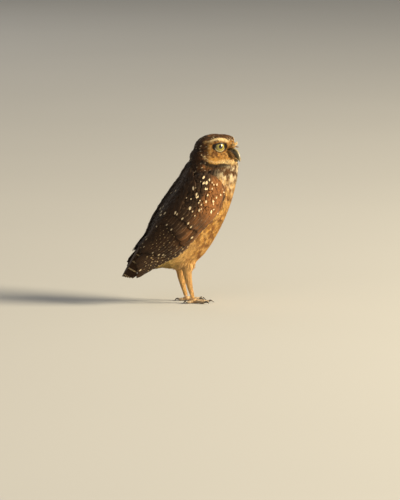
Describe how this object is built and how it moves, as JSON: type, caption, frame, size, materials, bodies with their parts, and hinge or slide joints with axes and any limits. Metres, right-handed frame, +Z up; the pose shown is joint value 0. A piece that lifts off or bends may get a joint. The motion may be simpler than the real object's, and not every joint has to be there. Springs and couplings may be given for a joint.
{
  "type": "burrowing owl",
  "caption": "Small long-legged ground owl standing upright, wings folded and head turned to its right, as a still life-size model.",
  "frame": {"origin": "on the floor, under the centre of the bird's bounding box", "axes": "+X towards the breast, +Y towards the bird's left side, +Z up"},
  "size_m": [0.1716, 0.0962, 0.2355],
  "materials": {
    "plumage": "soft barred and spotted body feathers",
    "flight_feathers": "smooth dark brown feathers with pale spots",
    "leg_skin": "short bristly buff feathering over scaly toes",
    "eye": "wet and glossy",
    "bill": "smooth horn",
    "claw": "polished dark horn"
  },
  "bodies": {
    "root": {"head": "plumage", "neck": "plumage", "torso": "plumage", "thigh_left": "plumage", "thigh_right": "plumage", "wing_left": "flight_feathers", "wing_right": "flight_feathers", "tail": "flight_feathers", "tarsus_left": "leg_skin", "tarsus_right": "leg_skin", "foot_left": "leg_skin", "foot_right": "leg_skin", "eye_left": "eye", "eye_right": "eye", "bill_upper": "bill", "bill_lower": "bill", "claw_inner_left": "claw", "claw_middle_left": "claw", "claw_outer_left": "claw", "claw_hind_left": "claw", "claw_inner_right": "claw", "claw_middle_right": "claw", "claw_outer_right": "claw", "claw_hind_right": "claw"}
  },
  "joints": []
}
